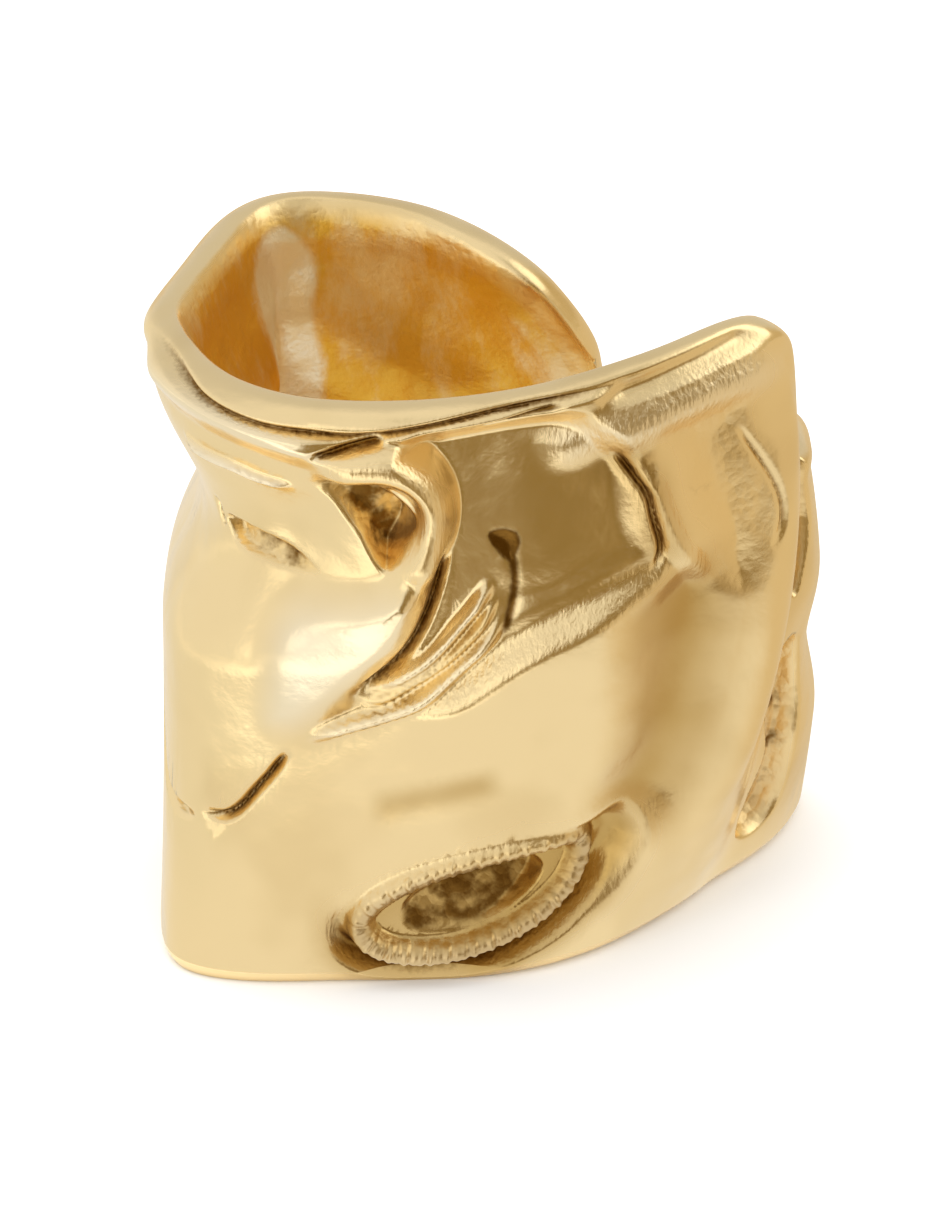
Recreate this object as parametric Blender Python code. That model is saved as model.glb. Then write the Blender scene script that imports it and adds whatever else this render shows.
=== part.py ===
# Ear cuff: one open band of polished cast gold-coloured metal, crumpled like pressed foil.
# It stands on its lower rim, +Z up, with its broad front towards -Y and its opening at the right, +X.

import math

import bmesh
import bpy
import numpy as np
from mathutils import Matrix

# Driving dimensions, in metres
CUFF_WIDTH = 0.0140
CUFF_DEPTH = 0.0100
CUFF_HEIGHT = 0.0137
WALL = 0.00095
CORNER_RADIUS = 0.0011
LIP_DEPTH = 0.00055
FOOT_TRIM = 0.00010

# Mesh fineness
COLUMNS = 420
ROWS = 150
TRIANGLES = 8000
# Where the columns stand closer together: at both ends and round the flap's edge
CROWDING = (
    # place        along  half_width  times
    ("bulge_end",  1.42,  0.06,       4.0),
    ("flap_edge",  1.02,  0.05,       3.5),
    ("back_end",  -0.97,  0.06,       4.0),
)
ROW_CROWDING = 0.75

# Upright ribs of the smooth outer face, from the free end behind the flap round the front and the back to the
# other free end. x is a share of half the width, y of half the depth and z of the height. All feet stand on z 0.
RIBS = (
    # name           foot_x  foot_y  waist_x waist_y head_x  head_y  head_z
    ("bulge_end",     0.840,  0.780,  0.810,  0.830,  0.640,  0.720,  1.000),
    ("bulge_back",    0.955,  0.580,  0.965,  0.600,  0.780,  0.520,  1.000),
    ("bulge",         0.925,  0.310,  1.003,  0.300,  0.800,  0.250,  1.000),
    ("bulge_front",   0.835,  0.080,  0.968,  0.020,  0.800,  0.010,  1.000),
    ("groove",        0.725, -0.110,  0.868, -0.200,  0.810, -0.220,  1.010),
    ("flap_back",     0.680, -0.180,  0.872, -0.300,  0.858, -0.300,  1.030),
    ("flap_edge",     0.632, -0.270,  0.880, -0.400,  0.868, -0.390,  1.050),
    ("flap_corner",   0.540, -0.430,  0.775, -0.610,  0.775, -0.560,  1.066),
    ("flap",          0.390, -0.650,  0.560, -0.790,  0.575, -0.750,  1.054),
    ("front_right",   0.150, -0.860,  0.285, -0.940,  0.315, -0.900,  1.025),
    ("front_middle", -0.145, -0.945, -0.030, -1.000,  0.030, -0.980,  1.008),
    ("front_left",   -0.430, -0.950, -0.370, -1.000, -0.270, -1.000,  1.000),
    ("left_turn",    -0.700, -0.950, -0.685, -0.920, -0.570, -0.920,  0.998),
    ("left_front",   -0.900, -0.840, -0.880, -0.700, -0.815, -0.650,  0.995),
    ("left_corner",  -0.955, -0.580, -0.935, -0.400, -0.955, -0.240,  0.992),
    ("left_flank",   -0.955, -0.200, -0.935, -0.060, -0.965,  0.040,  0.992),
    ("left_back",    -0.925,  0.260, -0.910,  0.320, -0.865,  0.420,  0.998),
    ("back_left",    -0.800,  0.680, -0.800,  0.720, -0.710,  0.860,  1.000),
    ("back",         -0.515,  0.980, -0.515,  0.980, -0.415,  0.960,  1.000),
    ("back_middle",  -0.115,  1.060, -0.130,  1.040, -0.115,  0.800,  0.994),
    ("back_right",    0.260,  1.040,  0.200,  0.980,  0.115,  0.560,  0.978),
    ("back_end",      0.560,  0.940,  0.450,  0.860,  0.330,  0.400,  0.940),
)
LEFT_CORNER = "left_corner"
FLAP_EDGE = "flap_edge"

# The rim, from the free end behind the flap to the other one: along as in RELIEF, height a share of the cuff's
RIM = (
    (1.45, 0.675), (1.36, 0.700), (1.28, 0.715), (1.20, 0.725), (1.13, 0.730), (1.080, 0.750), (1.058, 0.80),
    (1.045, 0.880), (1.035, 0.955), (1.012, 1.015), (0.965, 1.050), (0.90, 1.064), (0.80, 1.054), (0.70, 1.038),
    (0.60, 1.021), (0.50, 1.009), (0.40, 1.002), (0.30, 0.999), (0.15, 0.996), (0.00, 0.992), (-0.15, 0.992),
    (-0.30, 0.997), (-0.45, 1.000), (-0.60, 1.000), (-0.75, 0.996), (-0.84, 0.978), (-0.90, 0.945),
    (-0.94, 0.905), (-1.00, 0.850),
)

# Creases, rolls, folds and hollows of the outer face. A path's points are (along, height): along is a share of
# the front's run, 0 at the left corner, 1 at the flap's edge and negative round the back; height is a share of
# the cuff's. Reach (to either side) and rise are shares of the wall, and through is the share seen inside.
RELIEF = (
    # form    name              reach  rise  through  path
    ("swell", "left_waist",      2.9, -0.95, 1.0,
     ((-0.40, 0.76), (-0.10, 0.725), (0.06, 0.715), (0.17, 0.735), (0.30, 0.78))),
    ("swell", "flank_waist",     2.3, -0.30, 0.8,
     ((1.08, 0.37), (1.18, 0.355), (1.30, 0.36), (1.44, 0.38))),
    ("swell", "second_roll",     0.62, 0.34, 0.2,
     ((-0.02, 0.945), (0.06, 0.950), (0.12, 0.952), (0.20, 0.945), (0.26, 0.932), (0.31, 0.92))),
    ("cut",   "lip_crease",      0.30, -0.34, 0.0,
     ((0.00, 0.985), (0.06, 0.982), (0.11, 0.972), (0.16, 0.966), (0.21, 0.962), (0.25, 0.962), (0.30, 0.957),
      (0.34, 0.960), (0.40, 0.972), (0.45, 0.983), (0.50, 0.994), (0.56, 1.003), (0.62, 1.013), (0.70, 1.028),
      (0.78, 1.044))),
    ("cut",   "roll_end",        0.24, -0.34, 0.0,
     ((0.27, 0.922), (0.29, 0.932), (0.32, 0.945), (0.36, 0.962))),
    ("cut",   "lip_shadow",      0.20, -0.30, 0.0,
     ((0.50, 0.966), (0.53, 0.977), (0.57, 0.991), (0.62, 1.003))),
    ("slope", "upper_hollow",    0.8, -0.70, 0.9,
     ((0.39, 0.940), (0.43, 0.965), (0.49, 0.985), (0.55, 0.998), (0.60, 1.005), (0.635, 0.94), (0.70, 0.905),
      (0.735, 0.86), (0.75, 0.80), (0.76, 0.73), (0.70, 0.69), (0.64, 0.655), (0.58, 0.63), (0.52, 0.585),
      (0.46, 0.54), (0.445, 0.60), (0.465, 0.70), (0.475, 0.80), (0.47, 0.87))),
    ("swell", "hollow_rib",      1.1, 0.12, 0.0,
     ((0.60, 0.98), (0.59, 0.88), (0.585, 0.78), (0.57, 0.68))),
    ("step",  "panel_edge",      0.42, 0.40, 0.3,
     ((0.40, 0.49), (0.432, 0.505), (0.467, 0.52), (0.505, 0.542), (0.547, 0.583), (0.60, 0.622), (0.638, 0.642),
      (0.672, 0.660), (0.707, 0.676), (0.735, 0.688), (0.76, 0.698), (0.78, 0.698), (0.80, 0.688), (0.82, 0.658),
      (0.84, 0.634), (0.87, 0.605))),
    ("basin", "right_pocket",    1.3, -0.46, 0.6,
     ((0.755, 0.95), (0.83, 0.985), (0.905, 0.975), (0.940, 0.87), (0.962, 0.77), (0.960, 0.69), (0.910, 0.60),
      (0.860, 0.625), (0.815, 0.70), (0.775, 0.77), (0.760, 0.85))),
    ("roll",  "pocket_rim",      0.26, 0.26, 0.0,
     ((0.742, 0.90), (0.752, 0.85), (0.77, 0.795), (0.79, 0.745), (0.81, 0.71), (0.838, 0.67), (0.86, 0.635))),
    ("cut",   "pocket_left",     0.28, -0.34, 0.0,
     ((0.712, 0.90), (0.73, 0.86), (0.745, 0.83), (0.752, 0.80), (0.763, 0.76), (0.767, 0.73), (0.757, 0.700))),
    ("cut",   "pocket_right",    0.16, -0.24, 0.0,
     ((0.912, 0.85), (0.93, 0.82), (0.94, 0.79), (0.95, 0.765), (0.95, 0.72), (0.937, 0.69), (0.905, 0.63),
      (0.88, 0.60))),
    ("swell", "upper_fold",      0.50, 0.36, 0.3,
     ((0.60, 0.895), (0.643, 0.925), (0.683, 0.955), (0.742, 0.975), (0.796, 0.988), (0.857, 1.000),
      (0.92, 1.005), (0.97, 1.00))),
    ("swell", "lip_channel",     0.34, -0.40, 0.0,
     ((0.66, 0.998), (0.725, 1.012), (0.795, 1.028), (0.86, 1.038), (0.905, 1.045), (0.95, 1.040))),
    ("roll",  "hook",            0.50, 0.56, 0.0,
     ((0.25, 0.905), (0.288, 0.905), (0.318, 0.910), (0.356, 0.915), (0.392, 0.910), (0.426, 0.888),
      (0.450, 0.855), (0.457, 0.816), (0.452, 0.78), (0.438, 0.745), (0.420, 0.71), (0.410, 0.68))),
    ("basin", "hook_pocket",     0.26, -0.62, 0.2,
     ((0.275, 0.885), (0.31, 0.886), (0.34, 0.884), (0.37, 0.872), (0.397, 0.850), (0.415, 0.825), (0.414, 0.79),
      (0.402, 0.765), (0.388, 0.737), (0.371, 0.757), (0.352, 0.788), (0.332, 0.814), (0.310, 0.838),
      (0.290, 0.862))),
    ("cut",   "roll_line",       0.20, 0.22, 0.0,
     ((0.075, 0.885), (0.10, 0.872), (0.16, 0.868), (0.195, 0.858), (0.25, 0.853))),
    ("basin", "leaf",            0.16, -0.34, 0.0,
     ((0.137, 0.782), (0.16, 0.780), (0.22, 0.762), (0.285, 0.740), (0.243, 0.733), (0.20, 0.735),
      (0.172, 0.737), (0.152, 0.758))),
    ("cut",   "leaf_tick",       0.12, -0.22, 0.0,
     ((0.118, 0.795), (0.123, 0.775), (0.128, 0.755))),
    ("apron", "pillow",          1.1, 0.62, 0.5,
     ((0.225, 0.640), (0.255, 0.690), (0.34, 0.710), (0.41, 0.722), (0.447, 0.690), (0.43, 0.62), (0.39, 0.55),
      (0.34, 0.475), (0.28, 0.430), (0.228, 0.445), (0.220, 0.55))),
    ("cut",   "pillow_crease",   0.34, -0.56, 0.0,
     ((0.475, 0.79), (0.465, 0.76), (0.460, 0.72), (0.455, 0.69), (0.447, 0.657), (0.433, 0.62), (0.414, 0.586),
      (0.383, 0.55), (0.35, 0.52))),
    ("roll",  "strand_upper",    0.17, 0.32, 0.0,
     ((0.35, 0.515), (0.37, 0.525), (0.403, 0.546), (0.436, 0.572), (0.467, 0.603), (0.489, 0.636), (0.51, 0.668),
      (0.537, 0.712))),
    ("roll",  "strand_middle",   0.13, 0.26, 0.0,
     ((0.352, 0.50), (0.39, 0.518), (0.43, 0.548), (0.47, 0.580), (0.50, 0.613), (0.523, 0.645),
      (0.542, 0.69))),
    ("roll",  "strand_lower",    0.19, 0.36, 0.0,
     ((0.295, 0.435), (0.315, 0.45), (0.352, 0.477), (0.39, 0.488), (0.421, 0.505), (0.453, 0.527),
      (0.479, 0.554), (0.508, 0.588), (0.533, 0.62), (0.550, 0.66))),
    ("swell", "strand_pit",      0.25, -0.55, 0.0,
     ((0.530, 0.805), (0.540, 0.780), (0.549, 0.750), (0.556, 0.715), (0.560, 0.68))),
    ("swell", "panel_valley",    2.3, -0.60, 0.6,
     ((0.79, 0.74), (0.81, 0.62), (0.825, 0.51), (0.825, 0.41), (0.80, 0.31), (0.755, 0.21))),
    ("swell", "flap_edge_roll",  0.9, 0.16, 0.3,
     ((0.965, 1.0), (0.97, 0.85), (0.975, 0.70), (0.968, 0.52), (0.955, 0.35), (0.93, 0.16))),
    ("slope", "lens_dent",       0.34, -0.20, 0.0,
     ((0.395, 0.325), (0.44, 0.350), (0.50, 0.370), (0.565, 0.378), (0.53, 0.342), (0.46, 0.325))),
    ("cut",   "corner_right",    0.17, -0.34, 0.0,
     ((0.16, 0.298), (0.19, 0.296), (0.21, 0.313), (0.227, 0.339), (0.253, 0.374), (0.275, 0.415))),
    ("cut",   "corner_left",     0.16, -0.32, 0.0,
     ((0.01, 0.42), (0.03, 0.37), (0.06, 0.31), (0.097, 0.283), (0.135, 0.283))),
    ("slope", "eye_trough",      0.85, -0.85, 0.4,
     ((0.345, 0.12), (0.40, 0.182), (0.48, 0.228), (0.58, 0.255), (0.68, 0.272), (0.77, 0.275), (0.805, 0.22),
      (0.775, 0.13), (0.71, 0.072), (0.62, 0.032), (0.50, 0.024), (0.42, 0.042), (0.37, 0.080))),
    ("ring",  "eye_ring",        0.24, 0.40, 0.0,
     ((0.395, 0.12), (0.43, 0.170), (0.50, 0.207), (0.58, 0.230), (0.66, 0.240), (0.712, 0.224), (0.712, 0.18),
      (0.675, 0.125), (0.62, 0.088), (0.55, 0.066), (0.47, 0.064), (0.415, 0.085))),
    ("slope", "eye_pit",         0.26, -0.60, 0.2,
     ((0.450, 0.13), (0.50, 0.180), (0.57, 0.203), (0.64, 0.207), (0.665, 0.18), (0.640, 0.135), (0.58, 0.098),
      (0.51, 0.090), (0.460, 0.10))),
    ("basin", "recess_high",     0.30, -0.44, 0.0,
     ((1.09, 0.74), (1.150, 0.745), (1.165, 0.68), (1.163, 0.60), (1.14, 0.53), (1.12, 0.49), (1.09, 0.52),
      (1.070, 0.62))),
    ("basin", "recess_low",      0.30, -0.56, 0.0,
     ((1.070, 0.40), (1.13, 0.42), (1.165, 0.37), (1.170, 0.27), (1.160, 0.21), (1.160, 0.16), (1.145, 0.095),
      (1.10, 0.070), (1.06, 0.085), (1.050, 0.12), (1.065, 0.17), (1.085, 0.22), (1.070, 0.30))),
    ("cut",   "recess_mark",     0.16, -0.16, 0.0,
     ((1.025, 0.29), (1.030, 0.25), (1.032, 0.20))),
    ("swell", "back_fold_high",  1.6, -0.45, 0.7,
     ((-0.42, 0.88), (-0.56, 0.78), (-0.70, 0.72), (-0.86, 0.70))),
    ("swell", "back_fold_low",   1.2, -0.36, 0.5,
     ((-0.36, 0.42), (-0.50, 0.36), (-0.66, 0.38), (-0.80, 0.46), (-0.92, 0.56))),
    ("swell", "back_roll",       0.55, 0.30, 0.0,
     ((-0.40, 0.335), (-0.52, 0.285), (-0.66, 0.30), (-0.80, 0.375), (-0.93, 0.47))),
    ("cut",   "back_crease",     0.26, -0.34, 0.0,
     ((-0.52, 0.64), (-0.58, 0.58), (-0.66, 0.56), (-0.73, 0.60), (-0.77, 0.66))),
    ("basin", "back_dent",       0.60, -0.30, 0.3,
     ((-0.62, 0.20), (-0.70, 0.235), (-0.80, 0.23), (-0.87, 0.18), (-0.82, 0.12), (-0.70, 0.10),
      (-0.63, 0.13))),
)

# Forms whose path is closed
CLOSED_FORMS = ("basin", "slope", "apron", "ring")
# An open form fades out over this share of its path at each end.
END_FADE = 0.16
# A step falls away behind its crest over so many reaches, and has a toe in front of it.
STEP_FALL = 8
STEP_TOE = 2
STEP_TOE_DEPTH = 0.25
# An apron has its full rise over the lower part of its height.
APRON_GAIN = 1.3
# The rolled lip's rise, and how much thinner the rim is on its inner side, as shares of the wall
LIP_RISE = 0.10
RIM_THINNING = 0.20
# The columns follow the rim's height above this share of their own.
RIM_BEND_START = 0.35
# Points along a line that is measured along its run
LINE_POINTS = 1500


def spline(knots, values, at):
    """A smooth curve through the values at the knots, straight at its ends."""
    knots = np.asarray(knots, float)
    values = np.asarray(values, float)
    gap = np.diff(knots)
    count = len(knots)
    matrix = np.eye(count)
    right = np.zeros((count, values.shape[1]))
    for i in range(1, count - 1):
        matrix[i, i - 1 : i + 2] = (gap[i - 1], 2 * (gap[i - 1] + gap[i]), gap[i])
        right[i] = 6 * ((values[i + 1] - values[i]) / gap[i] - (values[i] - values[i - 1]) / gap[i - 1])
    bend = np.linalg.solve(matrix, right)
    cell = np.clip(np.searchsorted(knots, at, side="right") - 1, 0, count - 2)
    low = (knots[cell + 1] - at)[:, None]
    high = (at - knots[cell])[:, None]
    step = gap[cell][:, None]
    return (
        bend[cell] * low**3 / (6 * step)
        + bend[cell + 1] * high**3 / (6 * step)
        + (values[cell] / step - bend[cell] * step / 6) * low
        + (values[cell + 1] / step - bend[cell + 1] * step / 6) * high
    )


def ease(x):
    x = np.clip(x, 0, 1)
    return x * x * (3 - 2 * x)


def swell(x):
    return 0.5 + 0.5 * np.cos(math.pi * np.clip(x, 0, 1))


def cut(x):
    return (1 - np.clip(x, 0, 1) ** 1.3) ** 2


def roll(x):
    return (1 - np.clip(x, 0, 1) ** 3) ** 2


class Band:
    """The smooth band before its relief, laid out by run along the waist and height."""

    def __init__(self):
        half = np.array((CUFF_WIDTH / 2, CUFF_DEPTH / 2))
        rows = np.array([row[1:] for row in RIBS], float)
        waist = rows[:, 2:4] * half
        head = np.column_stack((rows[:, 4:6] * half, rows[:, 6] * CUFF_HEIGHT))
        run = np.concatenate(((0.0,), np.cumsum(np.linalg.norm(np.diff(waist, axis=0), axis=1))))
        names = [row[0] for row in RIBS]
        self.ribs = run
        self.table = np.column_stack((rows[:, 0:2] * half, waist, head))
        self.corner_run = run[names.index(LEFT_CORNER)]
        self.front_run = self.corner_run - run[names.index(FLAP_EDGE)]
        self.length = run[-1]
        self.rim = self.run_and_height(RIM)

    def run_and_height(self, path):
        """A path's points, given as (along, height), as (run, height) in metres."""
        path = np.array(path)
        return np.column_stack((self.corner_run - path[:, 0] * self.front_run, path[:, 1] * CUFF_HEIGHT))

    def edges(self, run):
        """Heights of the foot and the rim at each run, with the corners at both ends rounded."""
        chord = np.concatenate(((0.0,), np.cumsum(np.linalg.norm(np.diff(self.rim, axis=0), axis=1))))
        line = spline(chord, self.rim, np.linspace(0, chord[-1], LINE_POINTS))
        high = np.interp(run, line[:, 0], line[:, 1])
        drop = np.zeros(len(run))
        for distance in (run, self.length - run):
            near = np.clip(1 - distance / CORNER_RADIUS, 0, 1)
            drop += CORNER_RADIUS * (1 - np.sqrt(1 - near**2))
        return drop, high - drop

    def height(self, run, v):
        """Height at share v of each column: the columns differ in their upper part only."""
        low, high = self.edges(run)
        return low + v * (CUFF_HEIGHT - low) + ease((v - RIM_BEND_START) / (1 - RIM_BEND_START)) * (high - CUFF_HEIGHT)

    def points(self, run, height):
        """Points of the smooth outer face."""
        rib = spline(self.ribs, self.table, run)
        t = (height / rib[:, 6])[:, None]
        plan = (1 - t) * (1 - 2 * t) * rib[:, 0:2] + 4 * t * (1 - t) * rib[:, 2:4] + t * (2 * t - 1) * rib[:, 4:6]
        return np.column_stack((plan, height))

    def normals(self, run, height):
        """Outward directions of the smooth face."""
        step = WALL / 20
        across = self.points(run + step, height) - self.points(run - step, height)
        up = self.points(run, height + step) - self.points(run, height - step)
        normal = np.cross(up, across)
        return normal / np.linalg.norm(normal, axis=1)[:, None]

    def from_outline(self, run, height):
        """Distance of each point from the band's outline, up to the wall's thickness."""
        at = np.linspace(0, self.length, LINE_POINTS)
        low, high = self.edges(at)
        start, end = np.array((at[0], at[0])), np.array((at[-1], at[-1]))
        sides = (
            np.column_stack((at, low)),
            np.column_stack((at, high)),
            np.column_stack((start, (low[0], high[0]))),
            np.column_stack((end, (low[-1], high[-1]))),
        )
        lines = [(side[i], side[i + 1]) for side in sides for i in range(len(side) - 1)]
        first = np.array([line[0] for line in lines])
        last = np.array([line[1] for line in lines])
        nearest = np.full(len(run), WALL)
        columns, column_of = np.unique(np.round(run, 9), return_inverse=True)
        order = np.argsort(column_of, kind="stable")
        bounds = np.searchsorted(column_of[order], np.arange(len(columns) + 1))
        for i, column in enumerate(columns):
            close = (np.minimum(first[:, 0], last[:, 0]) < column + WALL) & (
                np.maximum(first[:, 0], last[:, 0]) > column - WALL
            )
            a, b = first[close], last[close]
            which = order[bounds[i] : bounds[i + 1]]
            point = np.column_stack((run[which], height[which]))
            step = b - a
            offset = point[:, None, :] - a[None]
            size = np.maximum((step * step).sum(1), 1e-18)
            t = np.clip((offset * step).sum(2) / size, 0, 1)
            away = np.linalg.norm(offset - t[..., None] * step, axis=2).min(1)
            nearest[which] = np.minimum(away, WALL)
        return nearest


def nearest_on_path(points, knots, closed):
    """Distance from each point to the smooth path, positive on its left, the place along it and its line."""
    if closed:
        knots = np.vstack((knots[-2:], knots, knots[:3]))
    run = np.concatenate(((0.0,), np.cumsum(np.linalg.norm(np.diff(knots, axis=0), axis=1))))
    first, last = (run[2], run[-3]) if closed else (run[0], run[-1])
    pieces = max(24, int((last - first) / (WALL / 8)))
    line = spline(run, knots, np.linspace(first, last, pieces + 1))
    nearest = np.full(len(points), np.inf)
    side = np.zeros(len(points))
    place = np.zeros(len(points))
    for i, (start, end) in enumerate(zip(line[:-1], line[1:])):
        step = end - start
        t = np.clip((points - start) @ step / (step @ step), 0, 1)
        away = points - start - t[:, None] * step
        distance = np.linalg.norm(away, axis=1)
        closer = distance < nearest
        nearest[closer] = distance[closer]
        side[closer] = (step[0] * away[:, 1] - step[1] * away[:, 0])[closer]
        place[closer] = (i + t[closer]) / pieces
    return np.where(side < 0, -nearest, nearest), place, line


def enclosed(points, line):
    """Which points lie inside the closed line."""
    odd = np.zeros(len(points), bool)
    for (ax, ay), (bx, by) in zip(line[:-1], line[1:]):
        if ay == by:
            continue
        spans = (ay > points[:, 1]) != (by > points[:, 1])
        odd ^= spans & (points[:, 0] < (bx - ax) * (points[:, 1] - ay) / (by - ay) + ax)
    return odd


def relief(band, run, height):
    """How far the outer and the inner face rise at each point of the laid-out band."""
    points = np.column_stack((run, height))
    outer = np.zeros(len(points))
    inner = np.zeros(len(points))
    for form, _name, reach, rise, through, path in RELIEF:
        reach *= WALL
        margin = reach * (STEP_FALL if form == "step" else 1) + WALL / 2
        knots = band.run_and_height(path)
        near = np.all((points > knots.min(0) - margin) & (points < knots.max(0) + margin), axis=1)
        closed = form in CLOSED_FORMS
        signed, place, line = nearest_on_path(points[near], knots, closed)
        x = np.abs(signed) / reach
        if form in ("basin", "slope", "apron"):
            shape = ease(np.where(enclosed(points[near], line), x, 0))
            low, high = knots[:, 1].min(), knots[:, 1].max()
            if form == "slope":
                shape = shape * np.clip((points[near, 1] - low) / (high - low), 0, 1)
            if form == "apron":
                shape = shape * ease((high - points[near, 1]) / (high - low) * APRON_GAIN)
        elif form == "step":
            rising = ease(0.5 + signed / reach / 2)
            toe = STEP_TOE_DEPTH * (1 - rising) * (1 - ease(x / STEP_TOE))
            shape = rising * (1 - ease(x / STEP_FALL)) - toe
        else:
            shape = {"swell": swell, "cut": cut, "roll": roll, "ring": roll}[form](x)
        if not closed:
            shape = shape * ease(place / END_FADE) * ease((1 - place) / END_FADE)
        outer[near] += rise * WALL * shape
        inner[near] += rise * WALL * shape * through
    return outer, inner


def lip(from_rim):
    """The rise of the rolled lip at each distance from the rim."""
    return LIP_RISE * WALL * swell(np.abs(from_rim - LIP_DEPTH / 2) / LIP_DEPTH)


def blank():
    """Two flat sheets of one grid, the outer at z 1 and the inner at z 0, sewn together round their outline."""
    sheets = bmesh.new()
    for side in (1, 0):
        place = Matrix.Translation((0.5, 0.5, side))
        bmesh.ops.create_grid(sheets, x_segments=COLUMNS, y_segments=ROWS, size=0.5, matrix=place)
    for vertex in sheets.verts:
        on_outline = max(abs(vertex.co.x - 0.5), abs(vertex.co.y - 0.5)) > 0.5 - 0.1 / COLUMNS
        if on_outline:
            vertex.co.z = 0.5
    bmesh.ops.remove_doubles(sheets, verts=sheets.verts, dist=0.1 / COLUMNS)
    mesh = bpy.data.meshes.new("cuff_band")
    sheets.to_mesh(mesh)
    sheets.free()
    return mesh


def column_runs(band, p):
    """Runs of the columns at even shares p, closer together at the places in CROWDING."""
    run = np.linspace(0, band.length, LINE_POINTS)
    along = (band.corner_run - run) / band.front_run
    density = np.ones(len(run))
    for _place, middle, half_width, times in CROWDING:
        density += (times - 1) * swell((along - middle) / half_width * np.sign(along - middle))
    count = np.concatenate(((0.0,), np.cumsum((density[1:] + density[:-1]) / 2)))
    return np.interp(p, count / count[-1], run)


def form_band(mesh):
    """Bend the flat blank into the crumpled band."""
    flat = np.empty(len(mesh.vertices) * 3, np.float32)
    mesh.vertices.foreach_get("co", flat)
    flat = np.clip(flat.reshape(-1, 3).astype(float), 0, 1)
    is_outer = flat[:, 2] > 0.5

    band = Band()
    run = column_runs(band, np.round(flat[:, 0], 6))
    v = flat[:, 1] - ROW_CROWDING * np.sin(2 * math.pi * flat[:, 1]) / (2 * math.pi)
    height = band.height(run, v)
    points = band.points(run, height)
    outer, inner = relief(band, run, height)
    from_edge = band.from_outline(run, height)
    from_rim = np.where(v > 0.5, from_edge, WALL)
    outer += lip(from_rim)
    inner += RIM_THINNING * WALL * (1 - ease(from_rim / WALL))

    # Both faces meet in a half circle round the whole outline.
    middle = -WALL / 2 + (outer + inner) / 2 * ease(from_edge / WALL)
    face = np.where(is_outer, outer, inner - WALL)
    near = np.clip(2 * from_edge / WALL, 0, 1)
    depth = middle + np.sqrt(1 - (1 - near) ** 2) * (face - middle)
    formed = points + band.normals(run, height) * depth[:, None]

    lowest, highest = formed.min(0), formed.max(0)
    formed -= ((lowest[0] + highest[0]) / 2, (lowest[1] + highest[1]) / 2, FOOT_TRIM)
    mesh.vertices.foreach_set("co", formed.ravel())

    surface = bmesh.new()
    surface.from_mesh(mesh)
    bmesh.ops.recalc_face_normals(surface, faces=surface.faces)
    surface.to_mesh(mesh)
    surface.free()


def gold():
    material = bpy.data.materials.new("polished_gold")
    material.use_nodes = True
    shader = material.node_tree.nodes["Principled BSDF"]
    shader.inputs["Base Color"].default_value = (0.91, 0.69, 0.37, 1)
    shader.inputs["Metallic"].default_value = 1
    shader.inputs["Roughness"].default_value = 0.2
    return material


def collection(name):
    made = bpy.data.collections.new(name)
    bpy.context.scene.collection.children.link(made)
    return made


def foot_cutter():
    """A block whose top is the plane on which the foot is filed flat."""
    size = 3 * max(CUFF_WIDTH, CUFF_DEPTH)
    bpy.ops.mesh.primitive_cube_add(size=size, location=(0, 0, -size / 2))
    cutter = bpy.context.object
    cutter.name = "foot_cutter"
    cutter.hide_render = True
    cutter.display_type = "WIRE"
    return cutter


def cuff_band(cutter):
    mesh = blank()
    form_band(mesh)
    mesh.shade_smooth()
    mesh.materials.append(gold())
    band = bpy.data.objects.new("cuff_band", mesh)

    thin = band.modifiers.new("thin_out", "DECIMATE")
    thin.ratio = TRIANGLES / (4 * COLUMNS * ROWS)
    thin.use_collapse_triangulate = True

    foot = band.modifiers.new("file_foot", "BOOLEAN")
    foot.operation = "DIFFERENCE"
    foot.solver = "EXACT"
    foot.object = cutter
    return band


def main():
    for item in list(bpy.data.objects):
        bpy.data.objects.remove(item)
    cutters = collection("cutters")
    cutter = foot_cutter()
    for holder in list(cutter.users_collection):
        holder.objects.unlink(cutter)
    cutters.objects.link(cutter)
    collection("ear_cuff").objects.link(cuff_band(cutter))


main()
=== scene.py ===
import math

import bmesh
import bpy
import numpy as np
from mathutils import Matrix, Vector


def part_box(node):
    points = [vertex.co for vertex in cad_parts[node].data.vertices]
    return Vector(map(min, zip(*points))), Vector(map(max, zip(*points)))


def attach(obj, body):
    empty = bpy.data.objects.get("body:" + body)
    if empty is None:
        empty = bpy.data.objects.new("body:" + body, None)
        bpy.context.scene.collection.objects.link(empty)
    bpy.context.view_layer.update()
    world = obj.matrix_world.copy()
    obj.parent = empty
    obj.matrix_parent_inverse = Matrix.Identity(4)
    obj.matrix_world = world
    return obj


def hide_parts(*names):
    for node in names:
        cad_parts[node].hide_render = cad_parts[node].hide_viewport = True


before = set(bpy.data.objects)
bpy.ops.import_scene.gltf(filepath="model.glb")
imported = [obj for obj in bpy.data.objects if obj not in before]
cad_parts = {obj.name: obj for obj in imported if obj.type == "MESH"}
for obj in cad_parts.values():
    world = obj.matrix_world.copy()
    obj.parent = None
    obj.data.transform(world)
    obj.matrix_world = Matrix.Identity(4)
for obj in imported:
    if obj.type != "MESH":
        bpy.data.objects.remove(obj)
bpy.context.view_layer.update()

# Ear cuff: one open band of polished cast gold-coloured metal, crumpled like pressed foil.
# The band is shaped again at a fine scale from the model's own sizes, and given its cast and polished finish,
# with painted shade in its creases and hollows and painted highlights on its rolls.

# Driving dimensions, in metres
CUFF_WIDTH = 0.0140
CUFF_DEPTH = 0.0100
CUFF_HEIGHT = 0.0137
WALL = 0.00095
CORNER_RADIUS = 0.0011
LIP_DEPTH = 0.00055
FOOT_TRIM = 0.00010

# Mesh fineness
COLUMNS = 820
ROWS = 270
TRIANGLES = 190000
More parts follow.
